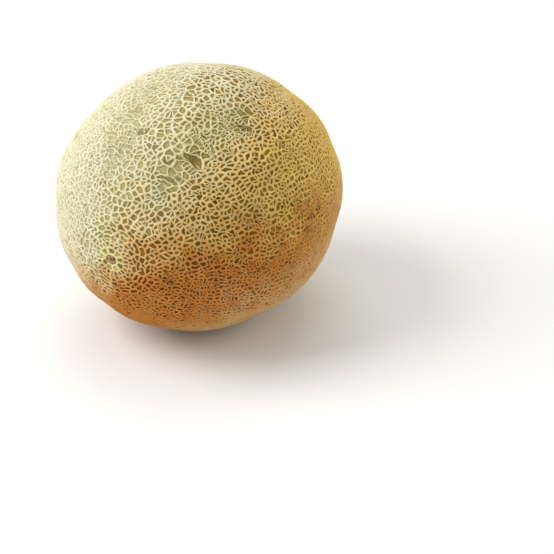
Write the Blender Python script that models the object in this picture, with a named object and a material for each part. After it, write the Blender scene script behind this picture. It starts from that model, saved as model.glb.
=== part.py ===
"""A netted cantaloupe lying on its side: one fruit, grown in one piece, so one solid.

The fruit's axis runs along Y, from the blossom end at -Y to the stem end at +Y. The origin is the
middle of the small flat ground spot that the fruit rests on. Directions point from the fruit's
middle, and every point of the skin is worked out from its direction.
"""

import math
import random

import bmesh
import bpy
from mathutils import Vector

# The fruit's size over its net, in metres, before its ends dip in and the ground spot flattens it.
LENGTH = 0.160
WIDTH = 0.147
HEIGHT = 0.137
GROUND_SPOT_RADIUS = 0.013

# The raised net, drawn larger than life: cords of cork round sunken cells of skin.
NET_CELLS = 870
CORD_HEIGHT = 0.0013
CORD_HALF_WIDTH = 0.0019
WIDEST_CORD_SHARE = 0.55
SHORTEST_CORD = 0.0021
CELL_SCATTER = 0.27
NET_SEED = 11
# Round a special cell: how near its seeds come to its middle, and how far off the scattered cells start.
DEEPEST_SEED = 0.7
CLEAR_CELLS = 0.75

# Vein tracts run from end to end as shallow grooves between ribs, and draw the cells on them wider.
TRACTS = 10
TRACTS_WIDEST_AT = math.radians(6.7)
TRACTS_CROWDING = math.radians(5.9)
TRACT_SPREAD = math.radians(9)
TRACT_DEPTH = 0.0015
RIB_SHARE = 0.4
TRACT_PULL = 0.8
BOLDEST_AT = math.radians(54)
BOLD_SPREAD = math.radians(24)
FAINTEST_TRACT = 0.4

# The two ends: a small corky button where the blossom was, and the dish that the stem left.
BUTTON_RADIUS = 0.0046
STEM_SCAR_RADIUS = 0.0095
BLOSSOM_DIP_DEPTH = 0.0008
STEM_DIP_DEPTH = 0.0022
END_DIP_RADIUS = 0.016
# Each profile runs inwards from a cell's rim: the share of the way to the middle, and the height.
BUTTON_PROFILE = ((0.35, -0.0004), (0.62, 0.0004), (1.0, 0.0009))
STEM_SCAR_PROFILE = ((0.16, 0.0001), (0.34, -0.0018), (0.72, -0.0021), (1.0, -0.0014))

# No fruit is a true ellipsoid: slow swells of the skin, and how fast they come round.
SWELL_HEIGHT = 0.0005
SWELL_TURNS = (2.3, 3.1, 2.7)

RIND_COLOUR = (0.63, 0.50, 0.27, 1.0)
RIND_ROUGHNESS = 0.72

HALF_LENGTH = LENGTH / 2 - CORD_HEIGHT
HALF_WIDTH = WIDTH / 2 - CORD_HEIGHT
HALF_HEIGHT = HEIGHT / 2 - CORD_HEIGHT
MIDDLE_HEIGHT = (HALF_HEIGHT + CORD_HEIGHT) * math.sqrt(1 - (2 * GROUND_SPOT_RADIUS / WIDTH) ** 2)

BLOSSOM_END = Vector((0, -1, 0))
STEM_END = Vector((0, 1, 0))
GROUND = Vector((0, 0, -1))


def clear_scene():
    for item in list(bpy.data.objects):
        bpy.data.objects.remove(item)


def polar_angle(direction):
    """How far round from the blossom end a direction lies."""
    return math.acos(max(-1.0, min(1.0, -direction.y)))


def around_axis(direction):
    """The longitude of a direction: 0 on top of the fruit, and growing towards +X."""
    return math.atan2(direction.x, direction.z)


def gaps_to_tracts(longitude):
    """The angle from each vein tract to a longitude, the short way round."""
    for number in range(TRACTS):
        even = math.tau * (number + 0.5) / TRACTS
        tract = TRACTS_WIDEST_AT + even + TRACTS_CROWDING * math.sin(even)
        yield math.remainder(longitude - tract, math.tau)


def nearness(gap):
    """1 in the middle of a tract, falling off to 0 on the ribs."""
    return math.exp(-((gap / TRACT_SPREAD) ** 2))


def across_tracts(direction):
    """1 along the middle line of every tract, and 0 along the ribs."""
    return max(nearness(gap) for gap in gaps_to_tracts(around_axis(direction)))


def tract_boldness(polar):
    """Open cells show most a third of the way from the blossom end, and not at all at either end."""
    near_boldest = math.exp(-(((polar - BOLDEST_AT) / BOLD_SPREAD) ** 2))
    return math.sin(polar) ** 2 * (FAINTEST_TRACT + (1 - FAINTEST_TRACT) * near_boldest)


def drawn_over_tracts(direction):
    """Where a point of an even net goes once the tracts have drawn it wider across them."""
    polar = polar_angle(direction)
    longitude = around_axis(direction)
    pull = TRACT_PULL * tract_boldness(polar)
    longitude += pull * sum(gap * nearness(gap) for gap in gaps_to_tracts(longitude))
    side = math.sin(polar)
    return Vector((side * math.sin(longitude), -math.cos(polar), side * math.cos(longitude)))


def skin_rise(direction):
    """How far the bare skin stands out from the plain ellipsoid."""
    x, y, z = (turn * value for turn, value in zip(SWELL_TURNS, direction))
    swell = SWELL_HEIGHT * (math.sin(x + 2 * y) + math.sin(y - 2 * z + 1)) / 2
    ribs = TRACT_DEPTH * (RIB_SHARE - across_tracts(direction)) * math.sin(polar_angle(direction)) ** 2
    from_end = WIDTH / 2 * math.hypot(direction.x, direction.z)
    dip_depth = STEM_DIP_DEPTH if direction.y > 0 else BLOSSOM_DIP_DEPTH
    return swell + ribs - dip_depth * math.exp(-((from_end / END_DIP_RADIUS) ** 2))


def skin_point(direction, height):
    """The point in this direction that stands this high over the bare skin, but not under the ground."""
    x, y, z = direction
    skin = Vector((x * HALF_WIDTH, y * HALF_LENGTH, z * HALF_HEIGHT))
    outwards = Vector((x / HALF_WIDTH, y / HALF_LENGTH, z / HALF_HEIGHT)).normalized()
    point = skin + outwards * (skin_rise(direction) + height)
    point.z = max(point.z + MIDDLE_HEIGHT, 0.0)
    return point


def seed_ring(middle, tilt, count):
    """Directions spaced evenly round a middle one, each this far from it."""
    sideways = middle.orthogonal().normalized()
    across = middle.cross(sideways)
    turns = [math.tau * number / count for number in range(count)]
    sides = [sideways * math.cos(turn) + across * math.sin(turn) for turn in turns]
    return [middle * math.cos(tilt) + side * math.sin(tilt) for side in sides]


def seed_groups():
    """Seed directions, in one group for each cell of the net, with the three special cells first.

    A special cell grows from a ring of seeds, and its rim lies halfway to the ring of cells round it.
    """
    cell_size = math.sqrt(4 * math.pi / NET_CELLS)
    special = []
    plain = []
    cleared = []
    for middle, radius in (
        (BLOSSOM_END, BUTTON_RADIUS),
        (STEM_END, STEM_SCAR_RADIUS),
        (GROUND, GROUND_SPOT_RADIUS),
    ):
        rim = radius / (WIDTH / 2)
        half_gap = min(cell_size / 2, DEEPEST_SEED * rim)
        count = round(math.tau * math.sin(rim + half_gap) / cell_size)
        special.append(seed_ring(middle, rim - half_gap, count))
        plain += [[seed] for seed in seed_ring(middle, rim + half_gap, count)]
        cleared.append((middle, math.cos(rim + half_gap + CLEAR_CELLS * cell_size)))

    draw = random.Random(NET_SEED)
    golden_turn = math.pi * (3 - math.sqrt(5))
    for number in range(NET_CELLS):
        level = 1 - 2 * (number + 0.5) / NET_CELLS
        radius = math.sqrt(1 - level * level)
        turn = golden_turn * number
        scatter = Vector([draw.uniform(-1, 1) for _ in range(3)]) * CELL_SCATTER * cell_size
        seed = (Vector((radius * math.cos(turn), radius * math.sin(turn), level)) + scatter).normalized()
        if all(seed.dot(middle) < limit for middle, limit in cleared):
            plain.append([seed])
    return special + plain


def cells_of(groups):
    """The corners of the even net, and for each group of seeds its cell's corner numbers in order."""
    hull = bmesh.new()
    owner = {}
    for number, group in enumerate(groups):
        for seed in group:
            owner[hull.verts.new(seed)] = number
    bmesh.ops.convex_hull(hull, input=hull.verts[:])
    corners = []
    cells = [[] for _ in groups]
    for face in hull.faces:
        owners = {owner[vert] for vert in face.verts}
        if len(owners) > 1:
            for number in owners:
                cells[number].append(len(corners))
            corners.append(face.normal.copy() if face.normal.dot(face.verts[0].co) > 0 else -face.normal)
    hull.free()

    for cell in cells:
        middle = sum((corners[number] for number in cell), Vector()).normalized()
        sideways = middle.orthogonal().normalized()
        across = middle.cross(sideways)
        cell.sort(key=lambda number: math.atan2(corners[number].dot(across), corners[number].dot(sideways)))
    return corners, cells


def without_short_cords(corners, cells):
    """Corners closer than the shortest cord become one."""
    shortest = SHORTEST_CORD / (WIDTH / 2)
    kept_as = list(range(len(corners)))
    for cell in cells:
        for one, other in zip(cell, cell[1:] + cell[:1]):
            if kept_as[one] != kept_as[other] and (corners[one] - corners[other]).length < shortest:
                gone, kept = kept_as[other], kept_as[one]
                kept_as = [kept if number == gone else number for number in kept_as]
    merged = []
    for cell in cells:
        numbers = [kept_as[number] for number in cell]
        merged.append([n for n, before in zip(numbers, numbers[-1:] + numbers[:-1]) if n != before])
    return merged


def add_ring(mesh, outer, inner):
    for number, vert in enumerate(outer):
        before = number - 1
        mesh.faces.new((outer[before], vert, inner[number], inner[before]))


def add_cell(mesh, rim, directions, profile):
    """Fills a cell inwards from its rim by a profile of rings, and ends it in a flat or a middle point."""
    middle = sum(directions, Vector()).normalized()
    ring = rim
    for share, height in profile:
        if share == 1.0:
            tip = mesh.verts.new(skin_point(middle, height))
            for number, vert in enumerate(ring):
                mesh.faces.new((ring[number - 1], vert, tip))
            return
        inwards = [direction.lerp(middle, share).normalized() for direction in directions]
        inner = [mesh.verts.new(skin_point(direction, height)) for direction in inwards]
        add_ring(mesh, ring, inner)
        ring = inner
    mesh.faces.new(ring)


def cell_profile(directions):
    """A plain cell: one ring, a cord's half width in from the rim, at the height of the bare skin."""
    middle = sum(directions, Vector()).normalized()
    mean_radius = sum((direction - middle).length for direction in directions) / len(directions)
    share = CORD_HALF_WIDTH / (mean_radius * WIDTH / 2)
    return ((min(share, WIDEST_CORD_SHARE), 0.0),)


def build_fruit():
    corners, cells = cells_of(seed_groups())
    cells = without_short_cords(corners, cells)
    corners = [drawn_over_tracts(corner) for corner in corners]

    mesh = bmesh.new()
    crests = {}
    for number in sorted({number for cell in cells for number in cell}):
        crests[number] = mesh.verts.new(skin_point(corners[number], CORD_HEIGHT))
    button, stem_scar, ground_spot = cells[:3]
    for number in ground_spot:
        crests[number].co.z = 0.0

    for cell in cells:
        rim = [crests[number] for number in cell]
        directions = [corners[number] for number in cell]
        if cell is ground_spot:
            mesh.faces.new(rim)
        elif cell is button:
            add_cell(mesh, rim, directions, BUTTON_PROFILE)
        elif cell is stem_scar:
            add_cell(mesh, rim, directions, STEM_SCAR_PROFILE)
        elif len(cell) > 2:
            add_cell(mesh, rim, directions, cell_profile(directions))

    bmesh.ops.recalc_face_normals(mesh, faces=mesh.faces[:])
    data = bpy.data.meshes.new("cantaloupe")
    mesh.to_mesh(data)
    mesh.free()
    data.shade_smooth()
    return data


def rind_material():
    material = bpy.data.materials.new("netted_rind")
    material.use_nodes = True
    shader = material.node_tree.nodes["Principled BSDF"]
    shader.inputs["Base Color"].default_value = RIND_COLOUR
    shader.inputs["Roughness"].default_value = RIND_ROUGHNESS
    shader.inputs["Metallic"].default_value = 0.0
    return material


def main():
    clear_scene()
    fruit = bpy.data.objects.new("cantaloupe", build_fruit())
    fruit.data.materials.append(rind_material())
    bpy.context.scene.collection.objects.link(fruit)


main()
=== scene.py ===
"""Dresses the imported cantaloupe: skin with its net at real size, two scars, floor, light and camera.

The fruit's axis runs along Y, from the blossom end at -Y to the stem end at +Y. Points of the skin are
worked out from their direction from the fruit's middle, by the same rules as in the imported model.
"""

import math
import random

import bmesh
import bpy
import numpy as np
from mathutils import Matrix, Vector, geometry, noise


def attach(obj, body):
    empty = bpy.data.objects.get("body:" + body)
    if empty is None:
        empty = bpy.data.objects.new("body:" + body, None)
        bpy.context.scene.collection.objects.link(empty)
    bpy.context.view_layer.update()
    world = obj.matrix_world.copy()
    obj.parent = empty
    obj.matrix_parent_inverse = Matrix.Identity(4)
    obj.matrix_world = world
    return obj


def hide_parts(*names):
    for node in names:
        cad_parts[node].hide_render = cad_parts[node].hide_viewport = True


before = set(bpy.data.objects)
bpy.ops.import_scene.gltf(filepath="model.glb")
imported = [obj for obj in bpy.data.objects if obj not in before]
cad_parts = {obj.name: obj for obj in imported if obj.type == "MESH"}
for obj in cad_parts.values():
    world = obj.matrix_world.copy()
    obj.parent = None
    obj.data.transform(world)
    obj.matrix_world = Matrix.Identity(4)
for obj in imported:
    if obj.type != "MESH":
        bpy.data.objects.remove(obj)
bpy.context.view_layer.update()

# The fruit's size over its net, in metres, before its ends dip in and the ground spot flattens it.
LENGTH = 0.160
WIDTH = 0.147
HEIGHT = 0.137
GROUND_SPOT_RADIUS = 0.013
RADIUS = WIDTH / 2

# Vein tracts run from end to end as shallow grooves between ribs.
TRACTS = 10
TRACTS_WIDEST_AT = math.radians(6.7)
TRACTS_CROWDING = math.radians(5.9)
TRACT_SPREAD = math.radians(9)
TRACT_DEPTH = 0.0015
RIB_SHARE = 0.4

# The dips at the two ends, and the slow swells of the skin with how fast they come round.
BLOSSOM_DIP_DEPTH = 0.0008
STEM_DIP_DEPTH = 0.0022
END_DIP_RADIUS = 0.016
SWELL_HEIGHT = 0.0005
SWELL_TURNS = (2.3, 3.1, 2.7)

# The net's cells grow round seeds, one or a few for each. Round both ends they lie in rings: where each
# ring starts, how wide its cells are and how much they scatter. The last row of each table only ends the
# last ring. Most cells that are long for their ring have two seeds side by side.
NET_SEED = 23
BLOSSOM_ROWS = (
    (0.0034, 0.0040, 0.18),
    (0.0082, 0.0026, 0.25),
    (0.0104, 0.0028, 0.30),
    (0.0127, 0.0046, 0.32),
    (0.0149, 0.0058, 0.32),
    (0.0172, 0.0062, 0.34),
    (0.0196, 0.0056, 0.36),
    (0.0221, 0.0046, 0.38),
)
STEM_ROWS = (
    (0.0095, 0.0040, 0.0),
    (0.0126, 0.0036, 0.20),
    (0.0155, 0.0038, 0.28),
    (0.0184, 0.0038, 0.30),
)
LONG_RING_CELL = 1.6
LONG_SHARE = 0.8

# Between the ends the cells lie in columns along the fruit, coarser on top than elsewhere. Some have a
# second seed close by, which makes them longer or crooked.
CELL_WIDTH = 0.0029
ROW_GAP = 0.0025
GAP_SWING = 0.62
GAP_PATCHES = 0.6
GAP_PATCH_TURNS = 7.0
FIRST_ROW = (0.2, 0.8)
LAST_ROW = 0.2
COLUMN_SCATTER = 0.17
COLUMN_WANDER = 0.8
COLUMN_WANDER_LENGTH = 0.009
COLUMN_WANDER_STEP = 1.7
SECTOR_WANDER_STEP = 5
FINEST = 0.91
COARSEST = 1.36
COARSEST_AT = 0.0
COARSE_SPREAD = math.radians(34)
PAIRED_SHARE = 0.40
PAIR_GAPS = (0.0013, 0.0027)
STRETCH = 0.0035

# The whole net sways slowly, and corners closer than its shortest cord become one.
SWAY = 0.0014
SWAY_TURNS = 5.0
SWAY_SHIFTS = (0, 20, 40)
SHORTEST_CORD = 0.00055
MERGE_DISTANCE = 1e-6

# In a tract the net opens: wide slots lie across it, with thin rungs between them. The tracts open most
# near the top of the fruit and a third of the way from the blossom end. The noise rows say how fast a
# tract changes along itself and from tract to tract, and where in the noise it starts.
OPEN_AT = math.radians(62)
OPEN_SPREAD = math.radians(32)
OPEN_LONGITUDE = math.radians(5)
LEAST_OPEN = 0.2
OPEN_FROM = 0.43
TRACT_HALF_WIDTH = 0.0064
LEAST_HALF_WIDTH = 0.0015
WIDTH_WANDER = 1.5
WIDTH_NOISE = (9, 7, 0)
SLOT_REACH = (0.6, 1.4)
SLOT_PIECES = (2, 2, 3, 3, 4)
SLOT_CUTS = 0.8
SLOT_SEED_GAP = 0.0018
SLOT_SCATTER = 0.0006
SLOT_SLANT = 1.3
SLANT_SCATTER = 0.35
SLANT_NOISE = (12, 3, 5)
SLOT_BOW = 0.4
SLOT_SHIFT = 0.5
RUNG_GAP = 0.0026
RUNG_STEPS = (0.5, 1.9)
SPLIT_SHARE = 0.3

# Kinds of cell. SCAR is the cell of the blossom's scar, and SCAR + 1 that of the stem's. Both are deep,
# because the scars are pieces of their own that sit in them.
PLAIN = 0
SLOT = 1
RING = 2
SCAR = 3
SCAR_FLOOR_DEPTHS = (0.0012, 0.0040)
SCAR_LIP_DEPTH = 0.0004
SCAR_FLOOR_SHARE = 0.85

# Cords: half widths and crest heights in metres. Those along the fruit are wider than those across it.
CORD_HALF_WIDTH = 0.00072
CORD_WIDTHS = (0.62, 1.38)
ACROSS_WIDTH = 0.75
ALONG_WIDTH = 0.45
THIN_CORD_SHARE = 0.75
RUNG_SHARE = 0.50
RUNG_WIDTHS = (0.6, 1.7)
SEAM_SHARE = 0.95
WIDTH_SWING = 0.45
WIDTH_PATCHES = 9
CORD_HEIGHT = 0.0007
LOWEST_CORD = 0.00026
HEIGHT_SWING = 0.25
HEIGHT_PATCHES = 30

# Large cells crack further by thinner cords: the area where each kind does, and the new cord's width as
# a share. Long cords get corners along them.
CRACKS = {
    PLAIN: (14e-6, THIN_CORD_SHARE),
    SLOT: (42e-6, RUNG_SHARE),
    RING: (34e-6, RUNG_SHARE),
}
CRACK_LIMITS = (0.5, 2.0)
CRACK_ENDS = (0.3, 0.7)
CRACK_TURN = 0.5
CRACK_WIDTHS = (0.8, 1.3)
BEND_LENGTH = 0.0030
RUNG_BEND_LENGTH = 0.0020
BEND_SWAY = 0.16
RUNG_SWAY = 0.30

# A cell's section, from the crest of its cords down to its floor. A wide cell has a shoulder, and a ring
# inside its floor. A cell that would fold over has its foot drawn in by a smaller share of the way.
SHARP_TURN = 0.3
FILL_LIMIT = 0.68
CORNER_REACH = 2.0
PIT_ROUNDING = 0.26
FOOT_SCATTER = 0.04
FOOT_TRIES = (1.0, 0.75, 0.55, 0.4)
SHORTEST_FOOT = 0.00012
LEAST_FOLD = 2.5e-9
WIDE_CELL = 13e-6
SHOULDER_SHARE = 0.52
SHOULDER_HEIGHT = 0.80
INNER_FLOOR = 0.6
FLOOR_DOME = 0.00005

# What each point tells the colours: its level in its cell, the cell's tone and how near a tract is.
CREST_LEVEL = 1.0
SHOULDER_LEVEL = 0.6
FOOT_LEVEL = 0.0
INNER_LEVEL = -1.0
CREST_TONE = 0.5
SLOT_TONES = 0.4
GREEN_SPREAD = math.radians(15)
NEAR_TRACT_SHARE = 0.9

# How much of its tile each side of the fruit fills in the map for baking.
BAKE_TILE_FILL = 0.96

# The scars: each profile runs out from the middle, as the share of the radius and the height there. The
# streaks that cut them are given as their number and depth.
BLOSSOM_SCAR_PROFILE = (
    (0.0, 0.0001), (0.25, 0.0004), (0.55, 0.0006), (0.8, 0.0004), (1.0, -0.0003),
)
STEM_SCAR_PROFILE = (
    (0.0, -0.0018), (0.16, -0.0017), (0.3, -0.0026), (0.6, -0.0024),
    (0.78, -0.0008), (0.9, 0.0006), (1.0, -0.0004),
)
BLOSSOM_SCAR_STREAKS = (7, 0.0009)
STEM_SCAR_STREAKS = (26, 0.0004)
STREAK_WIDTHS = (0.05, 0.13)
STREAK_SIZES = (0.4, 1)
SCAR_WAVES = (2, 3, 5, 8)
SCAR_WAVE_SIZES = (0.03, 0.07)
SCAR_RINGS = 12
SCAR_SECTORS = 72
SCAR_BUMPS = 90
SCAR_BUMP_HEIGHT = 0.0003

# Colours are linear. CORK is the net and FLOOR the floors of its cells. The fruit is paler and greener
# on the side towards the key light, and tanner away from it: partly a real sun tan, partly painted
# shade.
CORK_PALE = (0.76, 0.76, 0.56, 1)
CORK_TAN = (0.845, 0.57, 0.15, 1)
CORK_TRACT = (0.66, 0.65, 0.36, 1)
# Painted shade and warm bounce light low down on the net.
CORK_SHADE_BROWN = (0.59, 0.185, 0.018, 1)
CORK_UNDER = (0.74, 0.56, 0.28, 1)
# Dark of cracks and weathering in the cork, also used as painted shade down the cords' sides.
CORK_CRACK_AND_SHADE = (0.42, 0.30, 0.12, 1)
CORK_BLOSSOM = (0.70, 0.68, 0.33, 1)
FLOOR_GREEN = (0.65, 0.65, 0.40, 1)
FLOOR_SAGE = (0.46, 0.41, 0.15, 1)
FLOOR_OLIVE = (0.33, 0.16, 0.004, 1)
# Painted shade and warm bounce light low down on the floors.
FLOOR_SHADE_BROWN = (0.24, 0.035, 0.0, 1)
FLOOR_UNDER = (0.42, 0.28, 0.08, 1)
FLOOR_TRACT_PALE = (0.55, 0.55, 0.34, 1)
FLOOR_TRACT_TAN = (0.27, 0.22, 0.04, 1)
FLOOR_TAN = (0.55, 0.34, 0.035, 1)
FLOOR_BLOSSOM = (0.62, 0.60, 0.14, 1)
FLOOR_BLOSSOM_DARK = (0.16, 0.13, 0.02, 1)
# Dark of stains on the floors, also used as painted shade along their edges and in cells away from the
# key light.
FLOOR_STAIN_AND_SHADE = (0.09, 0.04, 0.0, 1)
BLOSSOM_SCAR_COLOURS = ((0.44, 0.31, 0.15, 1), (0.13, 0.07, 0.03, 1))
STEM_SCAR_COLOURS = ((0.62, 0.50, 0.30, 1), (0.38, 0.28, 0.14, 1))
SCAR_CRACK = (0.03, 0.018, 0.01, 1)

# Sides of the fruit where a colour comes in: the direction, and how far out it begins and is full, as
# shares of the radius. Patches of noise, each with its size and swing, make the borders ragged.
# Towards this side the net turns tan: partly a real sun tan, partly painted shade away from the key
# light.
SUN_AND_SHADE_SIDE = ((0.77, 0.18, -0.59), -0.70, 0.35)
# Towards this side the cells' floors darken from green to olive: partly real tan, partly painted shade
# away from the key light.
PIT_SHADE_SIDE = ((0.82, 0.30, -0.40), -0.95, 0.10)
TAN_SIDE = ((0.82, 0.57, 0), 0.20, 0.90)
# Low down on this side the net and floors turn deep brown: mostly painted shade and warm bounce light,
# with some real warming towards the ground.
LOW_SHADE_SIDE = ((0.5, -0.2, -0.85), 0.04, 0.58)
UNDER_SIDE = ((0.5, 0.3, -0.8), 0.28, 0.92)
UNDER_SHARE = 0.75
SIDE_PATCHES = ((0.030, 0.5), (0.008, 0.5))

# Levels where something begins and is full, and shares of how strongly it shows. Patterns of noise are
# given as their size, these two levels and their share.
TRACT_LEVELS = (0.15, 0.75)
BLOSSOM_POLAR_ANGLES = (0.125, 0.100)
GRAIN = (0.0011, 3.0, 0.7)
GRAIN_LEVELS = (0.48, 0.80)
WEATHER = (0.005, 0.42, 0.68, 0.22)
STAINS = (0.0016, 0.45, 0.7, 0.24)
SPECKS = (0.0010, 0.5, 0.75, 0.35)
STREAK_GAP = 0.0011
STREAK_LENGTH = 0.0050
STREAK_LEVELS = (0.5, 0.62)
STREAK_SHARE = 0.65
CORK_TRACT_SHARE = 0.5
CORK_BLOSSOM_SHARE = 0.4
# Painted shade down the cords' sides, leaving a painted highlight along their crests.
CORD_SIDE_SHADE_LEVELS = (0.9, 0.2)
CORD_SIDE_SHADE_SHARE = 0.55
CORD_LEVELS = (0.12, 0.36)
# Painted shade along the floors' edges, at the foot of the cords.
FLOOR_EDGE_SHADE_LEVELS = (-0.8, 0.0)
FLOOR_EDGE_SHADE_SHARE = 0.3
TONE_SWING = 0.72
TRACT_EVENNESS = 0.6
FLOOR_ROUGHNESS = 0.5
CORK_ROUGHNESS = 0.82
RIND_SPECULAR = 0.06
FLOOR_BUMP_SHARE = 0.2
RIND_BUMP = {"Strength": 0.7, "Distance": 0.00022}
SCAR_CRACK_LEVELS = (0.1, 0.75)
SCAR_GRAIN = (0.0016, 4.0, 0.65)
SCAR_GRAIN_LEVELS = (0.38, 0.62)
SCAR_ROUGHNESS = (0.72, 0.92)
SCAR_SPECULAR = 0.25
SCAR_BUMP = {"Strength": 0.8, "Distance": 0.0004}

# Camera: the photo's viewing angle, and where the fruit's middle falls in a picture of this width.
VIEW_AZIMUTH = math.radians(34.7)
VIEW_ELEVATION = math.radians(28.8)
CAMERA_DISTANCE = 1.15
PICTURE_SIDE = 554
MIDDLE_AT_PIXEL = (201.2, 194.3)
PIXELS_PER_METRE = 1893
SENSOR_WIDTH = 36

# Each light's name, turn from the camera and height in degrees, distance, size, power and colour.
LIGHTS = (
    ("key", -85, 43, 1.3, 0.9, 14.9, (1.0, 1.0, 0.99)),
    ("fill", 80, 22, 1.4, 1.0, 4.0, (1.0, 0.88, 0.70)),
    ("back", 170, 62, 1.5, 1.2, 7, (1.0, 1.0, 1.0)),
    ("rim", 118, 14, 1.4, 0.8, 2.6, (0.92, 0.97, 1.0)),
    ("front", -12, 36, 1.4, 1.0, 1.8, (1.0, 1.0, 0.99)),
)
WORLD_COLOUR = (1.0, 1.0, 1.0, 1)
WORLD_STRENGTH = 0.40
STAGE_SIDE = 8
STAGE_GAP = 0.0001
STAGE_COLOUR = (0.9, 0.9, 0.9, 1)
STAGE_ROUGHNESS = 0.9

HALF_AXES = np.array((WIDTH, LENGTH, HEIGHT)) / 2 - CORD_HEIGHT
STEM_END = Vector((0, 1, 0))
MIDDLE_HEIGHT = HEIGHT / 2 * math.sqrt(1 - (2 * GROUND_SPOT_RADIUS / WIDTH) ** 2)

EVEN_TRACTS = math.tau * (np.arange(TRACTS) + 0.5) / TRACTS
TRACT_LONGITUDES = TRACTS_WIDEST_AT + EVEN_TRACTS + TRACTS_CROWDING * np.sin(EVEN_TRACTS)


def gap_to_tract(longitude):
    """The angle from the nearest vein tract to each longitude."""
    gaps = np.asarray(longitude)[..., None] - TRACT_LONGITUDES
    gaps = (gaps + math.pi) % math.tau - math.pi
    nearest = np.abs(gaps).argmin(axis=-1)
    return np.take_along_axis(gaps, nearest[..., None], axis=-1)[..., 0]


def polar_and_longitude(directions):
    """The angle round from the blossom end, and the longitude: 0 on top, growing towards +X."""
    polar = np.arccos(np.clip(-directions[..., 1], -1, 1))
    return polar, np.arctan2(directions[..., 0], directions[..., 2])


def direction_at(polar, longitude):
    side = math.sin(polar)
    return Vector((side * math.sin(longitude), -math.cos(polar), side * math.cos(longitude)))


def skin_points(directions, heights):
    """The points in these directions, this high over the bare skin and nowhere under the ground."""
    polar, longitude = polar_and_longitude(directions)
    turns = directions * SWELL_TURNS
    swell = np.sin(turns[:, 0] + 2 * turns[:, 1]) + np.sin(turns[:, 1] - 2 * turns[:, 2] + 1)
    across_tracts = np.exp(-((gap_to_tract(longitude) / TRACT_SPREAD) ** 2))
    ribs = TRACT_DEPTH * (RIB_SHARE - across_tracts) * np.sin(polar) ** 2
    dip_depth = np.where(directions[:, 1] > 0, STEM_DIP_DEPTH, BLOSSOM_DIP_DEPTH)
    dip = dip_depth * np.exp(-((RADIUS * np.sin(polar) / END_DIP_RADIUS) ** 2))
    rise = SWELL_HEIGHT * swell / 2 + ribs - dip + heights

    outwards = directions / HALF_AXES
    outwards /= np.linalg.norm(outwards, axis=1, keepdims=True)
    points = directions * HALF_AXES + outwards * rise[:, None]
    points[:, 2] = np.maximum(points[:, 2] + MIDDLE_HEIGHT, 0.0)
    return points


def openness(polar, longitude):
    """How far the net opens in a tract, from 0 to 1."""
    facing = np.maximum(np.cos(longitude - OPEN_LONGITUDE), 0) ** 2
    return np.exp(-(((polar - OPEN_AT) / OPEN_SPREAD) ** 2)) * (LEAST_OPEN + (1 - LEAST_OPEN) * facing)


def noise_along(polar, tract, row):
    """Noise from -1 to 1 that changes slowly along a tract, by one of the noise rows."""
    along, between, start = row
    return noise.noise((along * polar, between * tract, start))


def tract_half_width(polar, tract):
    """Half the width of a tract's open cells, in metres, or 0 where the net is closed over it."""
    opening = float(openness(polar, tract))
    wander = 1 + WIDTH_WANDER * noise_along(polar, tract, WIDTH_NOISE)
    half = TRACT_HALF_WIDTH * math.sqrt(opening) * wander
    return half if opening > OPEN_FROM and half > LEAST_HALF_WIDTH else 0.0


def ring_groups(whole, rows, draw):
    """Seeds round one end: a group for the scar, which mirrors the first ring, and one for each cell."""
    scar = []
    others = []
    for number, (start, width, scatter) in enumerate(rows[:-1]):
        gap = rows[number + 1][0] - start
        along = start + gap / 2
        count = round(math.tau * RADIUS * math.sin(along / RADIUS) / width)
        phase = draw.uniform(0, 1)
        for step in range(count):
            longitude = math.tau * (step + phase + scatter * draw.uniform(-1, 1)) / count
            there = along + gap * scatter * draw.uniform(-1, 1)
            long = width > LONG_RING_CELL * gap and draw.random() < LONG_SHARE
            halves = (-math.tau / count / 4, math.tau / count / 4) if long else (0,)
            polar = abs(whole - there / RADIUS)
            others.append([direction_at(polar, longitude + half) for half in halves])
            if number == 0:
                scar.append(direction_at(abs(whole - (2 * start - there) / RADIUS), longitude))
    return scar, others


def slot_pieces(along, half, tract, draw):
    """Gives one slot across a tract in its pieces, each of them a line of seeds."""
    polar = along / RADIUS
    left, right = -draw.uniform(*SLOT_REACH), draw.uniform(*SLOT_REACH)
    cuts = sorted(draw.uniform(-SLOT_CUTS, SLOT_CUTS) for _ in range(draw.choice(SLOT_PIECES) - 1))
    slant = SLOT_SLANT * noise_along(polar, tract, SLANT_NOISE)
    slant += draw.uniform(-SLANT_SCATTER, SLANT_SCATTER)
    bow = draw.uniform(-SLOT_BOW, SLOT_BOW)
    for start, end in zip([left] + cuts, cuts + [right]):
        aside = RUNG_GAP * draw.uniform(-SLOT_SHIFT, SLOT_SHIFT)
        count = max(1, round((end - start) * half / SLOT_SEED_GAP))
        piece = []
        for number in range(count):
            across = start + (end - start) * (number + 0.5) / count
            there = along + aside + half * (slant * across + bow * across**2) / 2
            there += SLOT_SCATTER * draw.uniform(-1, 1)
            longitude = tract + across * half / RADIUS / math.sin(polar)
            piece.append(direction_at(there / RADIUS, longitude))
        yield piece


def tract_groups(first, last, draw):
    """Seeds of the open cells in the tracts. Some pieces of slots split into one cell for each seed."""
    groups = []
    for tract in TRACT_LONGITUDES:
        along = first + RUNG_GAP * draw.uniform(0, 1)
        while along < last:
            half = tract_half_width(along / RADIUS, tract)
            for piece in slot_pieces(along, half, tract, draw) if half else ():
                if draw.random() < SPLIT_SHARE:
                    groups.extend([seed] for seed in piece)
                else:
                    groups.append(piece)
            along += RUNG_GAP * draw.uniform(*RUNG_STEPS)
    return groups


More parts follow.
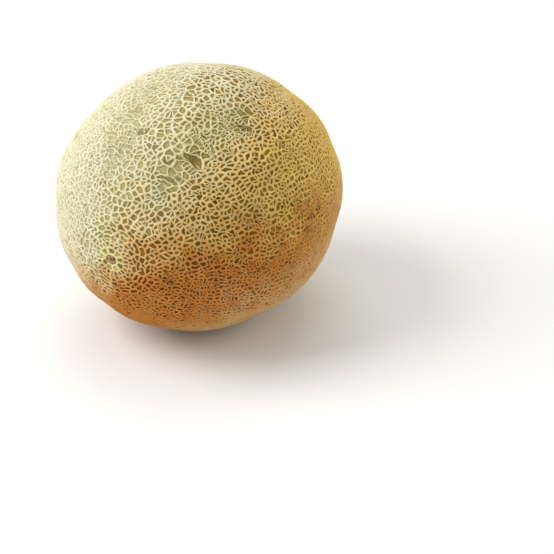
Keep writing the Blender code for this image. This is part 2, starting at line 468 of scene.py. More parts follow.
def column_groups(first, last, draw):
    """Seeds in columns along the fruit between its tracts, so that cords line up along the columns."""
    groups = []
    for tract, following in zip(TRACT_LONGITUDES, np.roll(TRACT_LONGITUDES, -1)):
        sector = (following - tract) % math.tau
        from_coarsest = (tract + sector / 2 - COARSEST_AT + math.pi) % math.tau - math.pi
        coarseness = FINEST + (COARSEST - FINEST) * math.exp(-((from_coarsest / COARSE_SPREAD) ** 2))

        def free_width(along):
            taken = tract_half_width(along / RADIUS, tract) + tract_half_width(along / RADIUS, following)
            return sector * RADIUS * math.sin(along / RADIUS) - taken

        start = first
        while start < last:
            columns = max(1, round(free_width(start) / CELL_WIDTH / coarseness))
            end = start + STRETCH
            while end < last and round(free_width(end) / CELL_WIDTH / coarseness) == columns:
                end += STRETCH
            end = min(end, last)
            for column in range(columns):
                along = start + ROW_GAP * draw.uniform(*FIRST_ROW)
                while along < end - ROW_GAP * LAST_ROW:
                    steps = column * COLUMN_WANDER_STEP, tract * SECTOR_WANDER_STEP
                    wander = COLUMN_WANDER * noise.noise((along / COLUMN_WANDER_LENGTH, *steps))
                    share = (column + 0.5 + wander + COLUMN_SCATTER * draw.uniform(-1, 1)) / columns
                    across = tract_half_width(along / RADIUS, tract) + share * free_width(along)
                    longitude = tract + across / RADIUS / math.sin(along / RADIUS)
                    group = [direction_at(along / RADIUS, longitude)]
                    if draw.random() < PAIRED_SHARE:
                        east, north = east_and_north(group[0])
                        turn, gap = draw.uniform(0, math.pi), draw.uniform(*PAIR_GAPS) / RADIUS
                        aside = (east * math.cos(turn) + north * math.sin(turn)) * gap
                        group.append((group[0] + aside).normalized())
                    groups.append(group)
                    patch = 1 + GAP_PATCHES * noise.noise(group[0] * GAP_PATCH_TURNS)
                    along += ROW_GAP * coarseness * patch * (1 + GAP_SWING * draw.uniform(-1, 1))
            start = end
    return groups


def seed_groups(draw):
    """Seed directions in groups, one for each cell: those of the two scars, the slots, the rings and the
    columns. The stem scar's group has the stem end itself as a seed."""
    first, last = BLOSSOM_ROWS[-1][0], math.pi * RADIUS - STEM_ROWS[-1][0]
    blossom_scar, round_blossom = ring_groups(0.0, BLOSSOM_ROWS, draw)
    stem_scar, round_stem = ring_groups(math.pi, STEM_ROWS, draw)
    stem_scar.append(STEM_END)
    slots = tract_groups(first, last, draw)
    columns = column_groups(first, last, draw)
    return [blossom_scar, stem_scar], slots, round_blossom + round_stem, columns


def triangles_between(seeds):
    """Delaunay triangles of seeds on a sphere: the flat ones of the seeds as seen from the stem end, and
    those that join their outline to the stem end's own seed."""
    others = [number for number, seed in enumerate(seeds) if seed is not STEM_END]
    flat = [Vector((seeds[number].x, seeds[number].z)) / (1 - seeds[number].y) for number in others]
    _, _, faces, origins, _, _ = geometry.delaunay_2d_cdt(flat, [], [], 0, MERGE_DISTANCE)
    triangles = [[others[origins[vert][0]] for vert in face] for face in faces]
    firsts = [face.index(min(face)) for face in triangles]
    triangles = sorted((*face[first:], *face[:first]) for face, first in zip(triangles, firsts))
    sides = {side for a, b, c in triangles for side in ((a, b), (b, c), (c, a))}
    outline = sorted((a, b) for a, b in sides if (b, a) not in sides)
    pole = next(number for number, seed in enumerate(seeds) if seed is STEM_END)
    return triangles + [(b, a, pole) for a, b in outline]


def cells_of(groups):
    """The net's corners, each cell's corner numbers in order, and the group each cell comes from."""
    seeds = [seed for group in groups for seed in group]
    owner = [number for number, group in enumerate(groups) for _ in group]
    triangles = triangles_between(seeds)
    places = np.array([tuple(seed) for seed in seeds])[np.array(triangles)]
    corners = np.cross(places[:, 1] - places[:, 0], places[:, 2] - places[:, 0])
    corners /= np.linalg.norm(corners, axis=1, keepdims=True)
    if (corners * places[:, 0]).sum() < 0:
        corners = -corners
        triangles = [(a, c, b) for a, b, c in triangles]
    corners = [Vector(corner) for corner in corners]

    triangle_at = {}
    for number, (a, b, c) in enumerate(triangles):
        triangle_at.update({(a, b): number, (b, c): number, (c, a): number})
    onward = [{} for _ in groups]
    for (one, other), number in triangle_at.items():
        if owner[one] != owner[other]:
            onward[owner[one]].setdefault(triangle_at[other, one], []).append(number)

    cells = []
    owners = []
    for group, steps in enumerate(onward):
        while steps:
            start = corner = next(iter(steps))
            cell = []
            while not cell or corner != start:
                cell.append(corner)
                ends = steps[corner]
                after = ends.pop()
                if not ends:
                    del steps[corner]
                corner = after
            cells.append(cell)
            owners.append(group)
    return corners, cells, owners


def without_short_cords(corners, cells):
    """Corners closer than the shortest cord become one."""
    kept_as = list(range(len(corners)))

    def kept(number):
        while kept_as[number] != number:
            number = kept_as[number]
        return number

    for cell in cells:
        for one, other in zip(cell, cell[1:] + cell[:1]):
            one, other = kept(one), kept(other)
            if (corners[one] - corners[other]).length < SHORTEST_CORD / RADIUS:
                kept_as[other] = one
    merged = []
    for cell in cells:
        numbers = [kept(number) for number in cell]
        merged.append([n for n, before in zip(numbers, numbers[-1:] + numbers[:-1]) if n != before])
    return merged


def swayed(corner):
    """Where a corner of the net goes once the slow sway of its cords has moved it."""
    sway = Vector([noise.noise(corner * SWAY_TURNS + Vector((0, shift, 0))) for shift in SWAY_SHIFTS])
    return (corner + sway * (1 - corner.y**2) * SWAY / RADIUS).normalized()


def build_net(draw):
    """The net as a mesh of cells on a sphere of radius 1, whose edges are cords with a half width."""
    scars, slots, rings, columns = seed_groups(draw)
    corners, cells, owners = cells_of(scars + slots + rings + columns)
    kinds = [SCAR, SCAR + 1] + [SLOT] * len(slots) + [RING] * len(rings) + [PLAIN] * len(columns)
    cells = without_short_cords(corners, cells)

    net = bmesh.new()
    half_width = net.edges.layers.float.new("half_width")
    kind = net.faces.layers.int.new("kind")
    verts = {}
    for number in sorted({number for cell in cells for number in cell}):
        verts[number] = net.verts.new(swayed(corners[number]))
    for cell, owner in zip(cells, owners):
        if len(cell) > 2:
            face = net.faces.new([verts[corner] for corner in cell])
            face[kind] = kinds[owner]

    for edge in net.edges:
        edge[half_width] = first_half_width(edge, kind, draw)
    for face in [face for face in net.faces if face[kind] < SCAR]:
        crack_further(net, face, draw)
    for edge in list(net.edges):
        is_rung = all(face[kind] == SLOT for face in edge.link_faces)
        if edge.calc_length() * RADIUS > (RUNG_BEND_LENGTH if is_rung else BEND_LENGTH):
            bend(net, edge, RUNG_SWAY if is_rung else BEND_SWAY, draw)
    return net


def east_and_north(direction):
    """Unit steps along the skin: round the fruit's axis, and along it away from the blossom end."""
    _, longitude = polar_and_longitude(np.array(direction))
    east = Vector((math.cos(longitude), 0, -math.sin(longitude)))
    return east, direction.cross(east)


def first_half_width(edge, kind, draw):
    """A cord's half width in the uncracked net. Cords along the fruit are the older ones, so wider."""
    middle = ((edge.verts[0].co + edge.verts[1].co) / 2).normalized()
    _, north = east_and_north(middle)
    along = abs((edge.verts[1].co - edge.verts[0].co).normalized().dot(north))
    width = CORD_HALF_WIDTH * draw.uniform(*CORD_WIDTHS) * (ACROSS_WIDTH + ALONG_WIDTH * along)
    width *= 1 + WIDTH_SWING * noise.noise(middle * WIDTH_PATCHES)
    by_slots = [face[kind] == SLOT for face in edge.link_faces]
    if all(by_slots):
        return width * RUNG_SHARE * draw.uniform(*RUNG_WIDTHS)
    return width * SEAM_SHARE if any(by_slots) else width


def crack(net, face, along, width):
    """Splits a cell by a new cord through its middle, and returns the cells that come of it."""
    half_width = net.edges.layers.float["half_width"]
    kind = net.faces.layers.int["kind"]
    middle = face.calc_center_median().normalized()
    plane = middle.cross(along)
    ends = []
    for loop in list(face.loops):
        here = plane.dot(loop.vert.co)
        there = plane.dot(loop.link_loop_next.vert.co)
        if here * there < 0:
            share = min(max(here / (here - there), CRACK_ENDS[0]), CRACK_ENDS[1])
            ends.append((loop.edge, loop.vert, share))
    if len(ends) != 2:
        return [face]
    for number, (edge, vert, share) in enumerate(ends):
        before = edge[half_width]
        added, ends[number] = bmesh.utils.edge_split(edge, vert, share)
        added[half_width] = edge[half_width] = before
        ends[number].co.normalize()
    other, _ = bmesh.utils.face_split(face, *ends)
    other[kind] = face[kind]
    net.edges.get(ends)[half_width] = width
    return [face, other]


def crack_further(net, face, draw):
    """A cell that is large for its kind cracks across its longer way, once or more."""
    limit, width_share = CRACKS[face[net.faces.layers.int["kind"]]]
    waiting = [face]
    while waiting:
        face = waiting.pop()
        middle = face.calc_center_median().normalized()
        east, north = east_and_north(middle)
        reaches = [vert.co - middle for vert in face.verts]
        flat = np.array([(reach.dot(east), reach.dot(north)) for reach in reaches])
        if face.calc_area() * RADIUS**2 > limit * draw.uniform(*CRACK_LIMITS):
            longest = np.linalg.eigh(np.cov(flat.T))[1][:, 1]
            turn = math.atan2(longest[0], -longest[1]) + draw.uniform(-CRACK_TURN, CRACK_TURN)
            along = east * math.cos(turn) + north * math.sin(turn)
            width = CORD_HALF_WIDTH * width_share * draw.uniform(*CRACK_WIDTHS)
            parts = crack(net, face, along, width)
            waiting += parts if len(parts) == 2 else []


def bend(net, edge, sway, draw):
    """A long cord gets corners along it and sways a little from side to side."""
    half_width = net.edges.layers.float["half_width"]
    length = edge.calc_length()
    pieces = max(2, math.ceil(length * RADIUS / BEND_LENGTH))
    start, end = edge.verts
    sideways = start.co.cross(end.co).normalized()
    for number in range(pieces - 1):
        before = edge[half_width]
        added, vert = bmesh.utils.edge_split(edge, start, 1 / (pieces - number))
        added[half_width] = edge[half_width] = before
        vert.co += sideways * draw.uniform(-1, 1) * sway * length / pieces
        vert.co.normalize()
        edge = net.edges.get((vert, end))
        start = vert


def cord_height(width):
    return LOWEST_CORD + (CORD_HEIGHT - LOWEST_CORD) * min(1.0, width / CORD_HALF_WIDTH)


def foot_of_cords(flat, widths, room):
    """Where the cords round a cell meet its floor: one point for each corner, in the flat of the cell.
    room is how far the sides are at least from the line along a long cell's middle."""
    following = np.roll(flat, -1, axis=0)
    sides = following - flat
    lengths = np.linalg.norm(sides, axis=1)
    normals = np.stack((sides[:, 1], -sides[:, 0]), axis=1) / lengths[:, None]
    reach = np.einsum("ij,ij->i", normals, flat)
    inset = np.minimum(widths, FILL_LIMIT * np.maximum(reach, room))
    before = np.roll(normals, 1, axis=0)
    before_inset = np.roll(inset, 1)
    before_reach = np.roll(reach, 1) - before_inset
    own_reach = reach - inset
    turn = cross(before, normals)
    sharp = np.abs(turn) > SHARP_TURN
    safe = np.where(sharp, turn, 1.0)
    crossing_x = (before_reach * normals[:, 1] - own_reach * before[:, 1]) / safe
    crossing_y = (own_reach * before[:, 0] - before_reach * normals[:, 0]) / safe
    crossing = np.stack((crossing_x, crossing_y), axis=1)
    inwards = (before + normals) / 2
    inwards /= np.linalg.norm(inwards, axis=1, keepdims=True)
    shifted = flat - inwards * ((inset + before_inset) / 2)[:, None]
    step = np.where(sharp[:, None], crossing, shifted) - flat
    longest = CORNER_REACH * np.maximum(inset, before_inset)
    foot = flat + step * np.minimum(1, longest / np.linalg.norm(step, axis=1))[:, None]
    return foot + PIT_ROUNDING * ((np.roll(foot, 1, axis=0) + np.roll(foot, -1, axis=0)) / 2 - foot)


def without_crossings(flat, foot):
    """Foot corners that come close or pass each other become one. Returns the places that are left, and
    which of them each corner of the cell has."""
    runs = [[number] for number in range(len(foot))]
    places = [Vector(place) for place in foot]
    number = 0
    while number < len(runs) and len(runs) > 3:
        after = (number + 1) % len(runs)
        first, last = runs[number][-1], runs[after][0]
        side = Vector(flat[last] - flat[first])
        if (places[after] - places[number]).dot(side.normalized()) < SHORTEST_FOOT:
            mine, others = len(runs[number]), len(runs[after])
            places[number] = (places[number] * mine + places[after] * others) / (mine + others)
            runs[number] += runs[after]
            del runs[after], places[after]
            number = max(0, min(number, len(runs)) - 2)
        else:
            number += 1
    place_of = [0] * len(foot)
    for number, run in enumerate(runs):
        for corner in run:
            place_of[corner] = number
    return np.array([tuple(place) for place in places]), place_of


def cross(first, second):
    return first[..., 0] * second[..., 1] - first[..., 1] * second[..., 0]


def folds_over(rim, foot, place_of):
    """Whether a cell's foot has sides that cross, or lies outside its rim."""
    following = np.roll(foot, -1, axis=0)
    sides = (following - foot)[:, None]
    parts_ends = cross(sides, foot - foot[:, None]) * cross(sides, following - foot[:, None]) < 0
    below = foot[place_of]
    next_below = np.roll(below, -1, axis=0)
    rim_sides = np.roll(rim, -1, axis=0) - rim
    outside = cross(rim_sides, below - rim) + cross(rim_sides, next_below - rim) < -LEAST_FOLD
    return cross(foot, following).sum() <= 0 or (parts_ends & parts_ends.T).any() or outside.any()


class Skin:
    """Gathers the skin's points by direction and height, with what each of them tells the colours."""

    def __init__(self):
        self.directions = []
        self.heights = []
        self.notes = []
        self.faces = []

    def add(self, directions, height, level, tone, slot):
        """Adds points and returns their numbers. slot is how much they are in a tract's open cell."""
        first = len(self.heights)
        count = len(directions)
        self.directions.extend(directions)
        self.heights.extend(np.broadcast_to(height, count))
        self.notes.extend([(level, tone, slot)] * count)
        return list(range(first, first + count))

    def add_band(self, outer, inner):
        """Faces between two rings with as many points. A point may stand twice in the inner one."""
        for number, point in enumerate(outer):
            here, before = inner[number], inner[number - 1]
            self.faces.append((outer[number - 1], point, here) + (() if here == before else (before,)))

    def add_fan(self, ring, tip):
        self.faces.extend((ring[number - 1], point, tip) for number, point in enumerate(ring))


def add_cell(skin, face, crest, half_width, kind, draw):
    """One cell of the net: its side down from the crest of its cords, and its floor."""
    middle = face.calc_center_median().normalized()
    sideways = middle.orthogonal().normalized()
    across = middle.cross(sideways)
    rim = [crest[loop.vert] for loop in face.loops]
    corners = [loop.vert.co / loop.vert.co.dot(middle) for loop in face.loops]
    flat = np.array([(corner.dot(sideways), corner.dot(across)) for corner in corners])
    flat *= RADIUS
    widths = np.array([loop.edge[half_width] for loop in face.loops])
    area = face.calc_area() * RADIUS**2
    inwards = foot_of_cords(flat, widths, area / (face.calc_perimeter() * RADIUS)) - flat
    inwards += [[draw.uniform(-1, 1) * FOOT_SCATTER * math.sqrt(area) for _ in "xy"] for _ in flat]
    for share in FOOT_TRIES:
        foot, place_of = without_crossings(flat, flat + share * inwards)
        if not folds_over(flat, foot, place_of):
            break
    tone = draw.uniform(0, 1)
    slot = 1 - SLOT_TONES * tone if face[kind] == SLOT else 0.0

    def ring(places, height, level):
        """Adds points at these places in the flat of the cell, and returns their numbers."""
        spread = np.outer(places[:, 0], sideways) + np.outer(places[:, 1], across)
        towards = np.array(middle) + spread / RADIUS
        directions = towards / np.linalg.norm(towards, axis=1, keepdims=True)
        return skin.add(directions, height, level, tone, slot)

    wide = area > WIDE_CELL
    if wide:
        shoulder = flat + (foot[place_of] - flat) * SHOULDER_SHARE
        heights = np.array([skin.heights[point] for point in rim]) * SHOULDER_HEIGHT
        shoulder_ring = ring(shoulder, heights, SHOULDER_LEVEL)
        skin.add_band(rim, shoulder_ring)
        rim = shoulder_ring
    is_scar = face[kind] >= SCAR
    foot_ring = ring(foot, -SCAR_LIP_DEPTH if is_scar else 0.0, FOOT_LEVEL)
    skin.add_band(rim, [foot_ring[place] for place in place_of])
    if is_scar:
        floor_height = -SCAR_FLOOR_DEPTHS[face[kind] - SCAR]
        floor_ring = ring(foot * SCAR_FLOOR_SHARE, floor_height, FOOT_LEVEL)
        skin.add_band(foot_ring, floor_ring)
        skin.add_fan(floor_ring, skin.add([middle], floor_height, FOOT_LEVEL, tone, slot)[0])
        return
    inner = foot.mean(axis=0) + (foot - foot.mean(axis=0)) * INNER_FLOOR
    if wide and not folds_over(foot, inner, list(range(len(foot)))):
        inner_ring = ring(inner, FLOOR_DOME, INNER_LEVEL)
        skin.add_band(foot_ring, inner_ring)
        foot_ring = inner_ring
    skin.faces.append(tuple(foot_ring))


def new_piece(name, points, faces, layers):
    """A smooth object of these points and faces, whose points carry these layers of numbers."""
    data = bpy.data.meshes.new(name)
    data.from_pydata(points.tolist(), [], faces)
    for layer, values in layers.items():
        values = np.array(values, dtype=float)
        data.attributes.new(layer, "FLOAT", "POINT").data.foreach_set("value", values)
    data.shade_smooth()
    piece = bpy.data.objects.new(name, data)
    bpy.context.scene.collection.objects.link(piece)
    return piece


def build_skin():
    draw = random.Random(NET_SEED)
    net = build_net(draw)
    half_width = net.edges.layers.float["half_width"]
    kind = net.faces.layers.int["kind"]
    skin = Skin()
    crest = {}
    for vert in net.verts:
        height = cord_height(max(edge[half_width] for edge in vert.link_edges))
        height *= 1 + HEIGHT_SWING * noise.noise(vert.co * HEIGHT_PATCHES)
        crest[vert] = skin.add([tuple(vert.co)], height, CREST_LEVEL, CREST_TONE, 0.0)[0]
    for face in net.faces:
        add_cell(skin, face, crest, half_width, kind, draw)
    net.free()

    directions = np.array([tuple(direction) for direction in skin.directions])
    points = skin_points(directions, np.array(skin.heights))
    levels, tones, slots = np.array(skin.notes).T
    polar, longitude = polar_and_longitude(directions)
    near_tract = np.exp(-((gap_to_tract(longitude) / GREEN_SPREAD) ** 2))
    in_tract = np.maximum(near_tract * openness(polar, longitude) * NEAR_TRACT_SHARE, slots)
    layers = {"cord": levels, "tone": tones, "tract": in_tract, "polar": polar}
    piece = new_piece("melon_skin", points, skin.faces, layers)
    add_bake_map(piece.data)
    return piece


def add_bake_map(data):
    """A UV map on the six sides of a box round the fruit, three by two, so that no faces overlap."""
    points = np.empty(len(data.vertices) * 3)
    data.vertices.foreach_get("co", points)
    points = points.reshape(-1, 3) - (0, 0, MIDDLE_HEIGHT)
    corners = np.empty(len(data.loops), dtype=np.int32)
    data.loops.foreach_get("vertex_index", corners)
    sizes = np.empty(len(data.polygons), dtype=np.int32)
    data.polygons.foreach_get("loop_total", sizes)
    face_of = np.repeat(np.arange(len(sizes)), sizes)
    centres = np.stack([np.bincount(face_of, points[corners, axis]) for axis in range(3)], axis=1)
    axis = np.abs(centres).argmax(axis=1)
    positive = np.take_along_axis(centres, axis[:, None], axis=1)[:, 0] > 0
    face_axis = axis[face_of]
    corner_points = points[corners]
    along = np.abs(np.take_along_axis(corner_points, face_axis[:, None], axis=1)[:, 0])
    u = np.where(face_axis == 0, corner_points[:, 1], corner_points[:, 0]) / along
    v = np.where(face_axis == 2, corner_points[:, 1], corner_points[:, 2]) / along
    places = np.stack((u, v), axis=1) * BAKE_TILE_FILL / 2 + 0.5
    places += np.stack((face_axis, positive[face_of]), axis=1)
    places /= (3, 2)
    layer = data.uv_layers.new(name="OFBake")
    layer.uv.foreach_set("vector", places.astype(np.float32).ravel())


def build_scar(name, whole, rows, profile, streaks, depth):
    """A corky scar at one end: a disc that follows a profile out from its middle, cut by streaks. It is
    as wide as the place that the net's rows leave free."""
    draw = random.Random(name)
    turns = np.arange(SCAR_SECTORS) * math.tau / SCAR_SECTORS
    cut = np.zeros(SCAR_SECTORS)
    for _ in range(streaks):
        gap = (turns - draw.uniform(0, math.tau) + math.pi) % math.tau - math.pi
        width, size = draw.uniform(*STREAK_WIDTHS), draw.uniform(*STREAK_SIZES)
        cut = np.maximum(cut, size * np.exp(-((gap / width) ** 2)))
    waves = [(count, draw.uniform(0, math.tau), draw.uniform(*SCAR_WAVE_SIZES)) for count in SCAR_WAVES]
    outline = 1 + sum(size * np.sin(count * turns + phase) for count, phase, size in waves)
    floor_height = -SCAR_FLOOR_DEPTHS[int(whole > 0)]

    def places(share):
        tilt = rows[0][0] * share * outline / RADIUS
        polar = np.abs(whole - tilt)
        return np.array([tuple(direction_at(p, t)) for p, t in zip(polar, turns)])

    rings = []
    crack_values = []
    stops, heights = zip(*profile)
    for share in np.linspace(0, 1, SCAR_RINGS + 1)[1:]:
        along = math.sin(math.pi * min(1.0, share)) ** 0.5
        bumps = [noise.noise(Vector(direction) * SCAR_BUMPS) for direction in places(share)]
        height = np.interp(share, stops, heights) - depth * cut * along
        rings.append(skin_points(places(share), height + SCAR_BUMP_HEIGHT * np.array(bumps)))
        crack_values.append(cut * along)
    rings.append(skin_points(places(1.0), np.full(SCAR_SECTORS, floor_height)))
    crack_values.append(np.ones(SCAR_SECTORS))
    tips = np.array([tuple(direction_at(whole, 0.0))] * 2)
    tip_points = skin_points(tips, np.array((profile[0][1], floor_height)))

    points = np.concatenate(rings + [tip_points])
    faces = []
    top, bottom = len(points) - 2, len(points) - 1
    last = (len(rings) - 1) * SCAR_SECTORS
    steps = [(number, (number + 1) % SCAR_SECTORS) for number in range(SCAR_SECTORS)]
    for low in range(0, last, SCAR_SECTORS):
        high = low + SCAR_SECTORS
        faces += [(low + here, high + here, high + after, low + after) for here, after in steps]
    for here, after in steps:
        faces += [(top, here, after), (bottom, last + after, last + here)]

    piece = new_piece(name, points, faces, {"crack": np.concatenate(crack_values + [np.zeros(2)])})
    mesh = bmesh.new()
    mesh.from_mesh(piece.data)
    bmesh.ops.recalc_face_normals(mesh, faces=mesh.faces[:])
    mesh.to_mesh(piece.data)
    mesh.free()
    return piece


def add_node(tree, kind, inputs=(), **settings):
    """Adds a shader node. An input that is another node's output is linked, and any other is set."""
    node = tree.nodes.new(kind)
    for name, value in settings.items():
        setattr(node, name, value)
    for key, value in dict(inputs).items():
        if isinstance(value, bpy.types.NodeSocket):
            tree.links.new(value, node.inputs[key])
        else:
            node.inputs[key].default_value = value
    return node


def mixed(tree, colour, *layers):
    """A colour with layers laid over it in turn, each given as its share and its colour."""
    for share, over in layers:
        inputs = {0: share, 6: colour, 7: over}
        colour = add_node(tree, "ShaderNodeMix", inputs, data_type="RGBA").outputs[2]
    return colour


def computed(tree, operation, first, second=0.0):
    return add_node(tree, "ShaderNodeMath", {0: first, 1: second}, operation=operation).outputs[0]


def stretched(tree, value, low, high, smooth=True):
    """0 where the value is low, 1 where it is high."""
    settings = {"interpolation_type": "SMOOTHSTEP" if smooth else "LINEAR"}
    return add_node(tree, "ShaderNodeMapRange", {0: value, 1: low, 2: high}, **settings).outputs[0]


def part_of(tree, value, share):
    return computed(tree, "MULTIPLY", value, share)


def attribute(tree, name):
    return add_node(tree, "ShaderNodeAttribute", attribute_name=name).outputs["Fac"]


def noise_at(tree, size, detail=2.0, roughness=0.5):
    """Noise with patches of about this size, in metres, from 0 to 1."""
    place = add_node(tree, "ShaderNodeTexCoord").outputs["Object"]
    inputs = {"Vector": place, "Scale": 1 / size, "Detail": detail, "Roughness": roughness}
    return add_node(tree, "ShaderNodeTexNoise", inputs).outputs["Fac"]


def streaks_across(tree):
    """Noise drawn out into streaks that run across the tracts, from 0 to 1."""
    place = add_node(tree, "ShaderNodeTexCoord").outputs["Object"]
    parts = add_node(tree, "ShaderNodeSeparateXYZ", {0: place}).outputs
    inputs = {
        0: part_of(tree, attribute(tree, "polar"), RADIUS / STREAK_GAP),
        1: part_of(tree, parts[0], 1 / STREAK_LENGTH),
        2: part_of(tree, parts[2], 1 / STREAK_LENGTH),
    }
    vector = add_node(tree, "ShaderNodeCombineXYZ", inputs).outputs[0]
    inputs = {"Vector": vector, "Scale": 1.0, "Detail": 1.0}
    return add_node(tree, "ShaderNodeTexNoise", inputs).outputs["Fac"]


def spots(tree, size, low, high, share):
    """Patches of about this size where the noise is high, up to this share."""
    return part_of(tree, stretched(tree, noise_at(tree, size), low, high), share)


def new_material(name):
    material = bpy.data.materials.new(name)
    material.use_nodes = True
    return material, material.node_tree, material.node_tree.nodes["Principled BSDF"]


def share_towards(tree, side, low, high):
    """How far a point lies to this side, stretched from low to high, with ragged borders."""
    place = add_node(tree, "ShaderNodeTexCoord").outputs["Object"]
    inputs = {0: place, 1: (0, 0, MIDDLE_HEIGHT)}
    from_middle = add_node(tree, "ShaderNodeVectorMath", inputs, operation="SUBTRACT").outputs[0]
    inputs = {0: from_middle, 1: Vector(side).normalized() / RADIUS}
    along = add_node(tree, "ShaderNodeVectorMath", inputs, operation="DOT_PRODUCT").outputs["Value"]
    for size, swing in SIDE_PATCHES:
        patches = computed(tree, "SUBTRACT", noise_at(tree, size), 0.5)
        along = computed(tree, "ADD", along, part_of(tree, patches, swing))
    return stretched(tree, along, low, high)


def cork_colour(tree, places, grain):
    """The colour of the net's cords, with painted shade down their sides that leaves a painted highlight
    along the crests.
    """
    edge = stretched(tree, attribute(tree, "cord"), *CORD_SIDE_SHADE_LEVELS)
    return mixed(
        tree,
        CORK_PALE,
        # Tan away from the key light: partly a real sun tan, partly painted shade.
        (places["sun_and_shade"], CORK_TAN),
        # Deep brown low down: mostly painted shade and warm bounce light.
        (places["low"], CORK_SHADE_BROWN),
        (places["under"], CORK_UNDER),
        (part_of(tree, places["tract"], CORK_TRACT_SHARE), CORK_TRACT),
        (stretched(tree, grain, *GRAIN_LEVELS), CORK_CRACK_AND_SHADE),
        (spots(tree, *WEATHER), CORK_CRACK_AND_SHADE),
        (part_of(tree, places["blossom"], CORK_BLOSSOM_SHARE), CORK_BLOSSOM),
        # Painted shade down the cords' sides, which leaves a painted highlight along their crests.
        (part_of(tree, edge, CORD_SIDE_SHADE_SHARE), CORK_CRACK_AND_SHADE),
    )


def floor_colour(tree, places, cork):
    """The colour of the cells' floors, with painted shade along their edges, and specks and streaks of
    cork.
    """
    tone, tract, tan_and_shade = attribute(tree, "tone"), places["tract"], places["tan_and_shade"]
    uneven = computed(tree, "SUBTRACT", 1.0, part_of(tree, tract, TRACT_EVENNESS))
    # Cells darker at random, more so away from the key light: real tone with painted shade.
    tone_and_shade = part_of(tree, part_of(tree, tone, part_of(tree, tan_and_shade, TONE_SWING)), uneven)
    edge = stretched(tree, attribute(tree, "cord"), *FLOOR_EDGE_SHADE_LEVELS)
    streaks = part_of(tree, stretched(tree, streaks_across(tree), *STREAK_LEVELS), tract)
    streaks = part_of(tree, streaks, STREAK_SHARE)
    return mixed(
        tree,
        FLOOR_GREEN,
        # Green to sage to olive away from the key light: partly real tan, partly painted shade.
        (stretched(tree, tan_and_shade, 0.0, 0.5, smooth=False), FLOOR_SAGE),
        (stretched(tree, tan_and_shade, 0.5, 1.0, smooth=False), FLOOR_OLIVE),
        # Deep brown low down: mostly painted shade and warm bounce light.
        (places["low"], FLOOR_SHADE_BROWN),
        (places["under"], FLOOR_UNDER),
        (share_towards(tree, *TAN_SIDE), FLOOR_TAN),
        # Tract floors pale to tan away from the key light: partly real tan, partly painted shade.
        (tract, mixed(tree, FLOOR_TRACT_PALE, (tan_and_shade, FLOOR_TRACT_TAN))),
        (places["blossom"], mixed(tree, FLOOR_BLOSSOM, (tone, FLOOR_BLOSSOM_DARK))),
        # Random darker cells, stronger away from the key light: real tone with painted shade.
        (tone_and_shade, FLOOR_STAIN_AND_SHADE),
        (spots(tree, *STAINS), FLOOR_STAIN_AND_SHADE),
        # Painted shade along the floor's edge at the foot of the cords.
        (part_of(tree, edge, FLOOR_EDGE_SHADE_SHARE), FLOOR_STAIN_AND_SHADE),
        (computed(tree, "MAXIMUM", spots(tree, *SPECKS), streaks), cork),
    )


def finish_shader(tree, shader, colour, rough_where, roughness, specular, height, bump):
    """Links the shader's colour, its roughness from one value to another, and its bumps."""
    tree.links.new(colour, shader.inputs["Base Color"])
    spread = add_node(tree, "ShaderNodeMapRange", {0: rough_where, 3: roughness[0], 4: roughness[1]})
    tree.links.new(spread.outputs[0], shader.inputs["Roughness"])
    shader.inputs["Specular IOR Level"].default_value = specular
    bumps = add_node(tree, "ShaderNodeBump", {**bump, "Height": height})
    tree.links.new(bumps.outputs[0], shader.inputs["Normal"])


def rind_material():
    material, tree, shader = new_material("netted_rind")
    places = {
        # Tan away from the key light: partly a real sun tan, partly painted shade.
        "sun_and_shade": share_towards(tree, *SUN_AND_SHADE_SIDE),
        # Low down: mostly painted shade and warm bounce light.
        "low": share_towards(tree, *LOW_SHADE_SIDE),
        "under": part_of(tree, share_towards(tree, *UNDER_SIDE), UNDER_SHARE),
        # Floors darker away from the key light: partly real tan, partly painted shade.
        "tan_and_shade": share_towards(tree, *PIT_SHADE_SIDE),
        "tract": stretched(tree, attribute(tree, "tract"), *TRACT_LEVELS),
        "blossom": stretched(tree, attribute(tree, "polar"), *BLOSSOM_POLAR_ANGLES),
    }
    grain = noise_at(tree, *GRAIN)
    cork = cork_colour(tree, places, grain)
    on_cord = stretched(tree, attribute(tree, "cord"), *CORD_LEVELS)
    colour = mixed(tree, floor_colour(tree, places, cork), (on_cord, cork))
    bump_share = computed(tree, "ADD", part_of(tree, on_cord, 1 - FLOOR_BUMP_SHARE), FLOOR_BUMP_SHARE)
    height = part_of(tree, grain, bump_share)
    roughness = (FLOOR_ROUGHNESS, CORK_ROUGHNESS)
    finish_shader(tree, shader, colour, on_cord, roughness, RIND_SPECULAR, height, RIND_BUMP)
    return material


def scar_material(name, light, dark):
    material, tree, shader = new_material(name)
    crack = stretched(tree, attribute(tree, "crack"), *SCAR_CRACK_LEVELS)
    grain = noise_at(tree, *SCAR_GRAIN)
    colour = mixed(tree, light, (stretched(tree, grain, *SCAR_GRAIN_LEVELS), dark), (crack, SCAR_CRACK))
    finish_shader(tree, shader, colour, grain, SCAR_ROUGHNESS, SCAR_SPECULAR, grain, SCAR_BUMP)
    return material


def towards_view(azimuth, elevation):
    """The unit vector from the fruit towards a viewer. At azimuth 0 the viewer looks along +Y."""
    flat = math.cos(elevation)
    return Vector((math.sin(azimuth) * flat, -math.cos(azimuth) * flat, math.sin(elevation)))


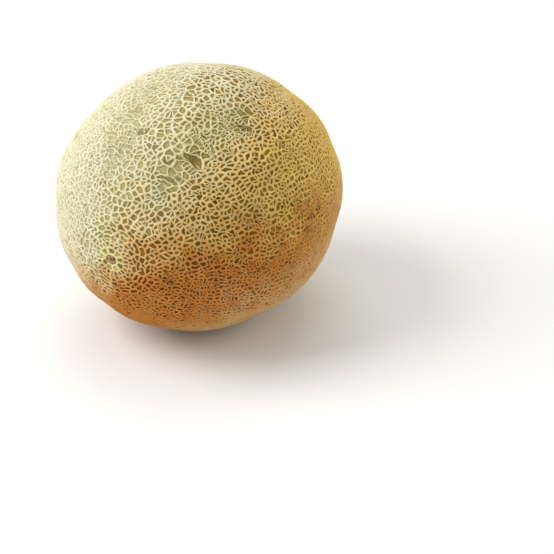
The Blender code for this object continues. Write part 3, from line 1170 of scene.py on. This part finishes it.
def add_camera():
    back = towards_view(VIEW_AZIMUTH, VIEW_ELEVATION)
    right = Vector((math.cos(VIEW_AZIMUTH), math.sin(VIEW_AZIMUTH), 0))
    up = back.cross(right)
    middle = Vector((0, 0, MIDDLE_HEIGHT))
    aside = (PICTURE_SIDE / 2 - MIDDLE_AT_PIXEL[0]) / PIXELS_PER_METRE
    below = (PICTURE_SIDE / 2 - MIDDLE_AT_PIXEL[1]) / PIXELS_PER_METRE
    camera = bpy.data.objects.new("camera", bpy.data.cameras.new("camera"))
    camera.location = middle + back * CAMERA_DISTANCE
    aim = middle + right * aside - up * below
    camera.rotation_euler = (aim - camera.location).to_track_quat("-Z", "Y").to_euler()
    camera.data.sensor_width = SENSOR_WIDTH
    camera.data.lens = SENSOR_WIDTH * PIXELS_PER_METRE * CAMERA_DISTANCE / PICTURE_SIDE
    bpy.context.scene.collection.objects.link(camera)
    bpy.context.scene.camera = camera


def add_light(name, turn, height, distance, size, power, colour):
    """A soft square light, placed by its turn from the camera's azimuth and its height as an angle."""
    towards = towards_view(VIEW_AZIMUTH + math.radians(turn), math.radians(height))
    light = bpy.data.objects.new(name, bpy.data.lights.new(name, "AREA"))
    light.location = Vector((0, 0, MIDDLE_HEIGHT)) + towards * distance
    light.rotation_euler = (-towards).to_track_quat("-Z", "Y").to_euler()
    light.data.size = size
    light.data.energy = power
    light.data.color = colour
    bpy.context.scene.collection.objects.link(light)


def add_studio():
    add_camera()
    for settings in LIGHTS:
        add_light(*settings)
    world = bpy.data.worlds.new("studio")
    world.use_nodes = True
    world.node_tree.nodes["Background"].inputs["Color"].default_value = WORLD_COLOUR
    world.node_tree.nodes["Background"].inputs["Strength"].default_value = WORLD_STRENGTH
    bpy.context.scene.world = world
    bpy.context.scene.view_settings.view_transform = "Standard"

    bpy.ops.mesh.primitive_plane_add(size=STAGE_SIDE, location=(0, 0, -STAGE_GAP))
    floor = bpy.context.object
    floor.name = "floor"
    material, _, shader = new_material("pale_floor")
    shader.inputs["Base Color"].default_value = STAGE_COLOUR
    shader.inputs["Roughness"].default_value = STAGE_ROUGHNESS
    floor.data.materials.append(material)


def main():
    add_studio()
    skin = build_skin()
    skin.data.materials.append(rind_material())
    blossom = build_scar("blossom_scar", 0.0, BLOSSOM_ROWS, BLOSSOM_SCAR_PROFILE, *BLOSSOM_SCAR_STREAKS)
    blossom.data.materials.append(scar_material("blossom_cork", *BLOSSOM_SCAR_COLOURS))
    stem = build_scar("stem_scar", math.pi, STEM_ROWS, STEM_SCAR_PROFILE, *STEM_SCAR_STREAKS)
    stem.data.materials.append(scar_material("stem_cork", *STEM_SCAR_COLOURS))
    for piece in (skin, blossom, stem):
        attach(piece, "root")
        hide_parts("cantaloupe")


main()
